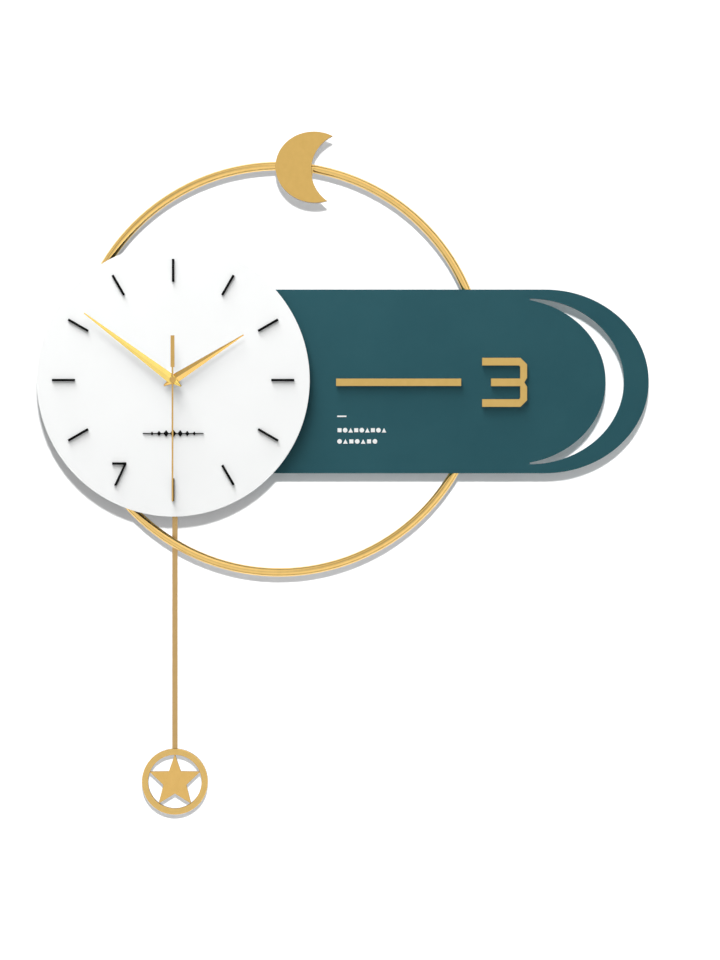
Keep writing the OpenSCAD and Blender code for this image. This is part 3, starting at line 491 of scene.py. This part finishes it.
def cross_head(radius, height):
    """A pan head with a cross recess, from y = 0 (its seat) towards +Y (its top)."""
    seat_r, crown_r, crown_from = radius * 0.98, radius * 1.9, 62
    roll, roll_drop = 0.35 * MM, 0.15 * MM
    crown = arc((0, height - crown_r), crown_r, crown_from, 90)
    rim = arc((radius - roll, crown[0][1] - roll_drop), roll, 0, 60, 3)
    profile = [(seat_r, 0.0), *rim, *crown[1:], (0.0, height)]
    bm = lathe(bmesh.new(), profile, (0, 0, 0), sides=40)
    bmesh.ops.recalc_face_normals(bm, faces=bm.faces)
    bmesh.ops.holes_fill(bm, edges=[e for e in bm.edges if e.is_boundary])
    head = bpy.data.objects.new("head", bpy.data.meshes.new("head"))
    bm.to_mesh(head.data)
    bm.free()

    slot_l, slot_h, slot_w = radius * 1.15, height * 1.3, radius * 0.26
    bottom_share = 0.45      # the recess is this share as long at its bottom
    cut = bmesh.new()
    for turn in (0, math.pi / 2):
        made = bmesh.ops.create_cube(cut, size=1.0)
        for vert in made["verts"]:
            taper = 1.0 if vert.co.y > 0 else bottom_share
            vert.co = Vector((vert.co.x * slot_l * taper, vert.co.y * slot_h, vert.co.z * slot_w))
            vert.co.y += height
        bmesh.ops.rotate(cut, verts=made["verts"], cent=(0, 0, 0), matrix=Matrix.Rotation(turn, 3, "Y"))
    cutter = bpy.data.objects.new("cutter", bpy.data.meshes.new("cutter"))
    cut.to_mesh(cutter.data)
    cut.free()
    for obj in (head, cutter):
        SCENE.collection.objects.link(obj)
    carve = head.modifiers.new("recess", "BOOLEAN")
    carve.object = cutter
    carve.solver = "EXACT"
    carve.use_self = True
    bpy.context.view_layer.update()
    done = bmesh.new()
    done.from_mesh(head.evaluated_get(bpy.context.evaluated_depsgraph_get()).to_mesh())
    template = bpy.data.meshes.new("cross_head")
    done.to_mesh(template)
    done.free()
    for obj in (head, cutter):
        mesh = obj.data
        bpy.data.objects.remove(obj)
        bpy.data.meshes.remove(mesh)
    return template


def screws(node, name, head_h, shank_r):
    """Pan-head screws with fine threads in place of a node's plain ones; heads face the wall."""
    turn_step = 37.0         # degrees, so that no two recesses line up
    bm = bmesh.new()
    boxes = islands(node)
    radius = (boxes[0][1].x - boxes[0][0].x) / 2
    template = cross_head(radius, head_h)
    for index, (lo, hi) in enumerate(boxes):
        axis = axis_at(lo, hi)
        seat = hi.y - head_h
        start = len(bm.verts)
        bm.from_mesh(template)
        bm.verts.ensure_lookup_table()
        place = Matrix.Translation(Vector(axis) + Vector((0, seat, 0)))
        turn = Matrix.Rotation(math.radians(turn_step * index), 4, "Y")
        bmesh.ops.transform(bm, matrix=place @ turn, verts=bm.verts[start:])
        thread(bm, axis, shank_r, lo.y, seat)
    bpy.data.meshes.remove(template)
    return piece(name, bm, node, flat_caps=False)


def thread(bm, centre, radius, low, high):
    """A shank with thread crests and a blunt point, from its tip at low to its head at high."""
    pitch, plain, point_h = 0.6 * MM, 0.6 * MM, 0.1 * MM
    crest_h, point_r = radius * 0.12, radius * 0.45
    root = radius - crest_h
    profile = [(0.0, low), (point_r, low + point_h)]
    along = low + plain
    while along + pitch < high - plain:
        profile += [(root, along), (radius, along + pitch / 2)]
        along += pitch
    profile += [(root, along), (root, high)]
    lathe(bm, profile, centre, sides=20)


# ---------------------------------------------------------------- pieces

def dial():
    rounded("dial_disc", 0.8, "dial_face", segments=4, second=BACK_PRIMER, takes=is_back)
    rounded("hour_markers", 0.3, "hour_bars")
    rounded("numeral_seven", 0.3, "seven")
    rounded("dial_ornament", 0.15, "ornament", segments=2)


def panel():
    rounded("side_panel", 0.7, "panel_body", segments=4)
    rounded("panel_bar", 0.35, "raised_bar")
    rounded("numeral_three", 0.35, "raised_three")
    rounded("panel_print_marks", 0.06, "print_marks", segments=1)


def hoop_and_moon():
    """The moon and the screws at the back; the hoop keeps its CAD shape."""
    # The moon's side walls get the painted dark reflection.
    rounded("crescent_moon", 0.25, "moon", MOON_GOLD, second=PAINTED_SHADE_EDGE, takes=is_wall)
    screws("hoop_screws", "hoop_fixings", head_h=2 * MM, shank_r=1.5 * MM)


def hangers():
    rounded("hanger_brackets", 0.3, "brackets", segments=2)
    screws("hanger_screws", "bracket_fixings", head_h=2 * MM, shank_r=1.5 * MM)
    screws("dial_screws", "dial_fixings", head_h=2 * MM, shank_r=1.5 * MM)
    rounded("dial_spacers", 0.6, "spacers")


def turned_post(bm, lo, hi):
    """A post with a flange at each end, a narrower waist and a groove half way along."""
    r = (hi.x - lo.x) / 2
    foot_roll, top_roll, fillet, flange = 0.5 * MM, 0.4 * MM, 0.6 * MM, 2 * MM
    mouth_half, bottom_half, groove_depth = 1.4 * MM, 1 * MM, 0.5 * MM
    foot, top, middle = lo.y + flange, hi.y - flange, (lo.y + hi.y) / 2
    waist = r * 0.8
    root = waist - groove_depth
    profile = [(0.0, lo.y), *arc((r - foot_roll, lo.y + foot_roll), foot_roll, -90, 0, 3), (r, foot)]
    profile += arc((waist + fillet, foot + fillet), fillet, 270, 180, 4)
    profile += [(waist, middle - mouth_half), (root, middle - bottom_half)]
    profile += [(root, middle + bottom_half), (waist, middle + mouth_half)]
    profile += [*arc((waist + fillet, top - fillet), fillet, 180, 90, 4), (r, top)]
    profile += [*arc((r - top_roll, hi.y - top_roll), top_roll, 0, 90, 3), (0.0, hi.y)]
    lathe(bm, profile, axis_at(lo, hi), sides=56)


def soft_pad(bm, lo, hi):
    """A foam pad with a rounded rim."""
    r = (hi.x - lo.x) / 2
    rim_roll, seat_edge = 0.6 * MM, 0.2 * MM
    profile = [(0.0, lo.y), (r - seat_edge, lo.y), (r, lo.y + seat_edge)]
    profile += [*arc((r - rim_roll, hi.y - rim_roll), rim_roll, 0, 90, 4), (0.0, hi.y)]
    lathe(bm, profile, axis_at(lo, hi), sides=56)


def posts():
    kinds = (("wall_posts", "stand_off_posts", turned_post), ("wall_pads", "soft_pads", soft_pad))
    for node, name, turned in kinds:
        bm = bmesh.new()
        for lo, hi in islands(node):
            turned(bm, lo, hi)
        piece(name, bm, node)


def movement():
    rounded("movement_case", 0.5, "case_shell", segments=3)
    rounded("movement_cover", 0.35, "cover_shell", segments=2)
    screws("cover_screws", "cover_fixings", head_h=1.2 * MM, shank_r=1 * MM)
    rounded("bushing_nut", 0.35, "hex_nut", WHITE_NUT)
    rounded("dial_washer", 0.2, "flat_washer", WHITE_NUT, segments=2)
    rounded("rubber_gasket", 0.3, "gasket", segments=2)
    rounded("setting_knob", 0.2, "time_knob", segments=2)
    grip_ribs()
    cover_signs()


def grip_ribs():
    """Moulded ribs on the two sides of the movement's case."""
    lo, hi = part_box("movement_case")
    rib_w, rib_h, count = 0.9 * MM, 0.45 * MM, 9
    first, run = 0.16, 0.36              # where the ribs start and how far they run, over the case's height
    front_gap, rear_gap = 4 * MM, 2 * MM
    bm = bmesh.new()
    for side, x in ((-1, lo.x), (1, hi.x)):
        crest = x + side * rib_h
        for i in range(count):
            z = lo.z + (hi.z - lo.z) * (first + run * i / (count - 1))
            outline = [(x, z - rib_w / 2), (crest, z - rib_w / 4), (crest, z + rib_w / 4), (x, z + rib_w / 2)]
            flat_shape(bm, outline, lo.y + front_gap, hi.y - rear_gap)
    piece("grip_ribs", bm, "movement_case", replaces=False)


def cover_signs():
    """A plus and a minus below the cell's ends, and a curved arrow round the setting knob."""
    boss_h = 0.6 * MM                    # the boss of the lever's pin stands this far off the cover
    raised, arm, half_line = 0.25 * MM, 1.6 * MM, 0.55 * MM / 2
    below_cell, from_end, round_knob = 3.6 * MM, 5 * MM, 1.6 * MM
    cell_lo, cell_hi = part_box("aa_battery")
    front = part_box("movement_cover")[1].y - boss_h
    back = front + raised
    z = cell_lo.z - below_cell
    plus_x, minus_x = cell_hi.x - from_end, cell_lo.x + from_end
    bm = bmesh.new()
    flat_shape(bm, box_outline(plus_x, z, arm, half_line), front, back)
    flat_shape(bm, box_outline(plus_x, z, half_line, arm), front, back)
    flat_shape(bm, box_outline(minus_x, z, arm, half_line), front, back)
    knob_lo, knob_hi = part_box("setting_knob")
    turn_arrow(bm, (knob_lo + knob_hi) / 2, (knob_hi.x - knob_lo.x) / 2 + round_knob, front, back)
    piece("cover_signs", bm, "movement_cover", SIGN_WHITE, replaces=False)


def box_outline(x, z, half_w, half_h):
    return [(x + a * half_w, z + b * half_h) for a, b in ((-1, -1), (1, -1), (1, 1), (-1, 1))]


def turn_arrow(bm, centre, reach, front, back):
    """A curved line with an arrow head, at a radius of reach round a centre."""
    half, steps = 0.3 * MM, 14           # half the line's width, and the sides of its curve
    start, sweep, head_turn = 200, 110, 16   # degrees
    head_half = half * 3.2

    def spot(radius, angle):
        return (centre.x + radius * math.cos(angle), centre.z + radius * math.sin(angle))

    angles = [math.radians(start + sweep * i / steps) for i in range(steps + 1)]
    last, tip = angles[-1], angles[-1] + math.radians(head_turn)
    outer = [spot(reach + half, a) for a in angles]
    inner = [spot(reach - half, a) for a in reversed(angles)]
    flat_shape(bm, outer + inner, front, back)
    head = [spot(reach + head_half, last), spot(reach - head_half, last), spot(reach, tip)]
    flat_shape(bm, head, front, back)


def hands():
    rounded("hour_hand", 0.12, "hour_pointer", HOUR_GOLD, segments=2, sharpest=24)
    rounded("minute_hand", 0.12, "minute_pointer", segments=2, sharpest=24)
    rounded("second_hand", 0.12, "second_pointer", SECOND_GOLD, segments=2, sharpest=24)


def pendulum():
    rounded("pendulum_rod", 0.2, "pendulum_strip", ROD_GOLD, segments=2)
    # The side walls of the ring and star get the painted dark reflection.
    rounded("bob_ring", 1.6, "ring", segments=6, second=PAINTED_SHADE_EDGE, takes=is_wall)
    rounded("bob_star", 0.3, "star", BOB_GOLD, second=PAINTED_SHADE_EDGE, takes=is_wall)
    rounded("pendulum_lever", 0.35, "lever", segments=2)
    rounded("lever_magnet", 0.3, "magnet", segments=2)
    rounded("lever_pivot_pin", 0.35, "pivot_pin", segments=3)


def battery():
    """The AA cell: a steel can with crimped shoulders and a stepped button, in a sleeve with rolled ends."""
    lo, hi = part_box("aa_battery")
    centre = (0, (lo.y + hi.y) / 2, (lo.z + hi.z) / 2)
    r, button_r, button_h = (hi.z - lo.z) / 2, 2.7 * MM, 1.3 * MM
    end = hi.x - button_h                # the button's foot

    roll, inset, overlap = 0.7 * MM, 0.35 * MM, 1.6 * MM
    low, high = lo.x + inset, end - inset
    sleeve = [(r - overlap, low), *arc((r - roll, low + roll), roll, -90, 0)]
    sleeve += [*arc((r - roll, high - roll), roll, 0, 90), (r - overlap, high)]
    piece("cell_body", lathe(bmesh.new(), sleeve, centre, "X", 72), "aa_battery", flat_caps=False)

    hollow, hollow_r, hollow_edge = lo.x + 0.25 * MM, 3.6 * MM, 4.0 * MM
    wall_r, crimp_r, dip_r, step_r = r - 1.2 * MM, r - 1.7 * MM, r - 2.4 * MM, button_r + 0.8 * MM
    shoulder, crimp, button_roll = 0.5 * MM, 0.05 * MM, 0.4 * MM
    dip = end - shoulder
    can = [(0.0, hollow), (hollow_r, hollow), (hollow_edge, lo.x), (crimp_r, lo.x)]
    can += [(wall_r, lo.x + shoulder), (wall_r, dip), (crimp_r, end - crimp)]
    can += [(dip_r, dip), (step_r, dip), (button_r, end)]
    can += [*arc((button_r - button_roll, hi.x - button_roll), button_roll, 0, 90, 4), (0.0, hi.x)]
    piece("cell_can", lathe(bmesh.new(), can, centre, "X", 72), "aa_battery", CELL_STEEL, flat_caps=False)


def paint_all():
    """Gives each CAD piece its slot's material. Those that nothing replaces show it as they are."""
    for node, obj in frame["nodes"].items():
        obj.data.materials[0] = LOOKS[SLOT_OF[node]]


# ---------------------------------------------------------------- stage

def stage_look(name, colour, see_through_back=False):
    """Plain pale paint. Seen from behind, the wall is clear, so that the clock's back shows."""
    look = Look(name, Specular_IOR_Level=0.0, Roughness=0.9)
    look.shader.inputs["Base Color"].default_value = (*colour, 1.0)
    if see_through_back:
        clear = look.node("ShaderNodeBsdfTransparent")
        chosen = look.node("ShaderNodeMixShader")
        look.join(look.node("ShaderNodeNewGeometry").outputs["Backfacing"], chosen.inputs["Fac"])
        look.join(look.shader.outputs["BSDF"], chosen.inputs[1])
        look.join(clear.outputs["BSDF"], chosen.inputs[2])
        look.join(chosen.outputs["Shader"], look.tree.nodes["Material Output"].inputs["Surface"])
    return look.material


def sheet_of(name, corners, material):
    """One flat face of the studio."""
    mesh = bpy.data.meshes.new(name)
    mesh.from_pydata(corners, [], [(0, 1, 2, 3)])
    made = bpy.data.objects.new(name, mesh)
    mesh.materials.append(material)
    SCENE.collection.objects.link(made)
    made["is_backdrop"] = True
    return made


def room():
    half, top, drop = 5.0, 4.0, 0.35     # half the width, the wall's top, and the floor's fall from the clock
    floor_z = CAD_BOX[0].z - drop
    upright = [(-half, 0, floor_z), (half, 0, floor_z), (half, 0, top), (-half, 0, top)]
    wall = sheet_of("back_wall", upright, stage_look("wall_paint", (0.93, 0.93, 0.93), see_through_back=True))
    wall.visible_shadow = False
    level = [(-half, -half, floor_z), (half, -half, floor_z), (half, half, floor_z), (-half, half, floor_z)]
    floor = sheet_of("studio_floor", level, stage_look("floor_paint", (0.80, 0.80, 0.80)))
    floor.visible_shadow = floor.visible_glossy = False
    return wall


def lamp(name, kind, place, aim, strength, **settings):
    data = bpy.data.lights.new(name, kind)
    data.energy = strength
    for key, value in settings.items():
        setattr(data, key, value)
    made = bpy.data.objects.new(name, data)
    made.location = place
    made.rotation_euler = (Vector(aim) - Vector(place)).to_track_quat("-Z", "Y").to_euler()
    made.visible_camera = False
    SCENE.collection.objects.link(made)
    return made


def sun(name, aim, direction, strength, across):
    """A sun in a direction from its aim, as a disc that many degrees across."""
    return lamp(name, "SUN", aim + direction, aim, strength, angle=math.radians(across))


def towards(azimuth, tilt):
    """A direction, tilted from straight ahead of the clock; azimuth 0 is up and 90 is the viewer's right."""
    turn, lean = math.radians(azimuth), math.radians(tilt)
    return Vector((math.sin(turn) * math.sin(lean), -math.cos(lean), math.cos(turn) * math.sin(lean)))


def shine_on(lit, light):
    """Lets a lamp light only the given objects."""
    receivers = bpy.data.collections.new(light.name)
    for obj in lit:
        receivers.objects.link(obj)
    light.light_linking.receiver_collection = receivers


def lights(wall):
    """A low sun and a soft box for the clock, a wide glow for its gold, a crisp lamp and a faint fill for the
    wall, and a box behind for the clock's back."""
    middle = (CAD_BOX[0] + CAD_BOX[1]) / 2
    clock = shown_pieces()
    golden = [obj for obj in clock if obj.data.materials[0].name.endswith("gold")]
    plain = [obj for obj in clock if obj not in golden]
    for obj in golden:
        obj.visible_diffuse = False
    shine_on(plain, sun("grazing_sun", middle, towards(-16, 76), strength=3.4, across=30))
    shine_on(golden, sun("gold_glow", middle, towards(0, 0), strength=1.35, across=150))
    dial_lo, dial_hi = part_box("dial_disc")
    dial_middle = (dial_lo + dial_hi) / 2
    over_left = dial_middle + towards(-10, 48) * 1.2
    soft = lamp("soft_box", "AREA", over_left, dial_middle, strength=6.4, shape="DISK", size=0.6)
    shine_on(plain, soft)
    above_camera = SCENE.camera.location + Vector((0, 0, 0.94))
    crisp = lamp("wall_lamp", "AREA", above_camera, middle, strength=95, shape="DISK", size=0.22)
    shine_on([wall], crisp)
    shine_on([wall], sun("wall_fill", middle, towards(0, 0), strength=0.16, across=50))
    behind = middle + Vector((-0.5, 1.6, 0.9))
    lamp("back_box", "AREA", behind, middle, strength=26, shape="RECTANGLE", size=1.6, size_y=1.2)


BASE_LEVEL = 0.40
GLOWS = (                    # direction, angle inside which it is full, angle where it ends, brightness
    (towards(0, 0), 35, 75, 0.15),
    (towards(0, 0), 4, 18, -0.20),
    (towards(37, 38), 8, 32, 0.20),
    (towards(140, 38), 8, 34, 0.15),
    (towards(-36, 31), 6, 20, -0.55),
    (towards(45, 88), 10, 35, -0.40),
)


def sky():
    """Even studio light with soft glows, so that the gold has something to mirror."""
    world = bpy.data.worlds.new("studio")
    SCENE.world = world
    world.use_nodes = True
    tree = world.node_tree
    place = tree.nodes.new("ShaderNodeTexCoord").outputs["Generated"]
    level = None
    for direction, full, end, strength in GLOWS:
        facing = tree.nodes.new("ShaderNodeVectorMath")
        facing.operation = "DOT_PRODUCT"
        facing.inputs[1].default_value = direction
        tree.links.new(place, facing.inputs[0])
        fade = tree.nodes.new("ShaderNodeMapRange")
        fade.interpolation_type = "SMOOTHSTEP"
        fade.inputs["From Min"].default_value = math.cos(math.radians(end))
        fade.inputs["From Max"].default_value = math.cos(math.radians(full))
        fade.inputs["To Max"].default_value = strength
        tree.links.new(facing.outputs["Value"], fade.inputs["Value"])
        total = tree.nodes.new("ShaderNodeMath")
        total.inputs[1].default_value = BASE_LEVEL
        tree.links.new(fade.outputs["Result"], total.inputs[0])
        if level:
            tree.links.new(level, total.inputs[1])
        level = total.outputs[0]
    backdrop = tree.nodes["Background"]
    backdrop.inputs["Color"].default_value = (1, 1, 1, 1)
    tree.links.new(level, backdrop.inputs["Strength"])


def camera():
    """Straight on, three metres in front, and a little below and to the right of the hands' axis."""
    right, ahead, below = 0.19085, 3.0, 0.10206
    hub_lo, hub_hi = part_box("dial_disc")
    hub = (hub_lo + hub_hi) / 2
    data = bpy.data.cameras.new("camera")
    data.sensor_width, data.lens = 36.0, 110.1
    data.clip_start, data.clip_end = 0.05, 50.0
    made = bpy.data.objects.new("camera", data)
    made.location = (hub.x + right, hub_lo.y - ahead, hub.z - below)
    made.rotation_euler = (math.pi / 2, 0, 0)
    SCENE.collection.objects.link(made)
    SCENE.camera = made


paint_all()
dial()
panel()
hoop_and_moon()
hangers()
posts()
movement()
hands()
pendulum()
battery()
camera()
lights(room())
sky()
SCENE.view_settings.view_transform = "Standard"
